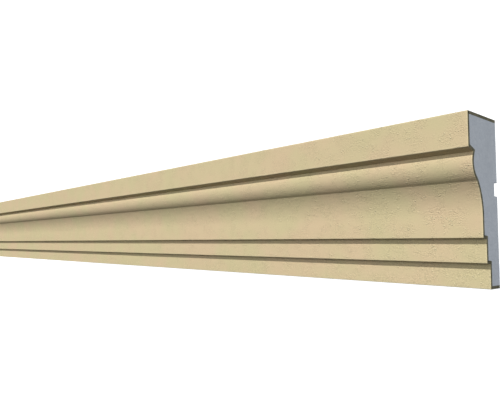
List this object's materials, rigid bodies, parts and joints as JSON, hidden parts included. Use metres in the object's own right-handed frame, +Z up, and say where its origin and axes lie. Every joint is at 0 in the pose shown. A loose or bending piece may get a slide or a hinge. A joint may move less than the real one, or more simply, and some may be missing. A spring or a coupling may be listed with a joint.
{
  "type": "window surround moulding",
  "caption": "Straight length of coated foam moulding with a fascia, roll, cove, flat frieze and stepped bands, fixed to a wall round a window.",
  "frame": {"origin": "the middle of the flat back that goes against the wall, half way along the length and half way up", "axes": "+X along the length, +Y out of the back towards the wall, so the moulded face looks to -Y, and +Z up with the deep fascia at the top"},
  "size_m": [1.5, 0.054, 0.15],
  "materials": {
    "foam": "cut expanded foam, blue-grey, matt, with a faint bead pattern",
    "sand_stucco": "thin trowelled coat in warm sand colour, matt, fine sand texture"
  },
  "bodies": {
    "root": {"foam_core": "foam", "stucco_coat": "sand_stucco"}
  },
  "joints": []
}
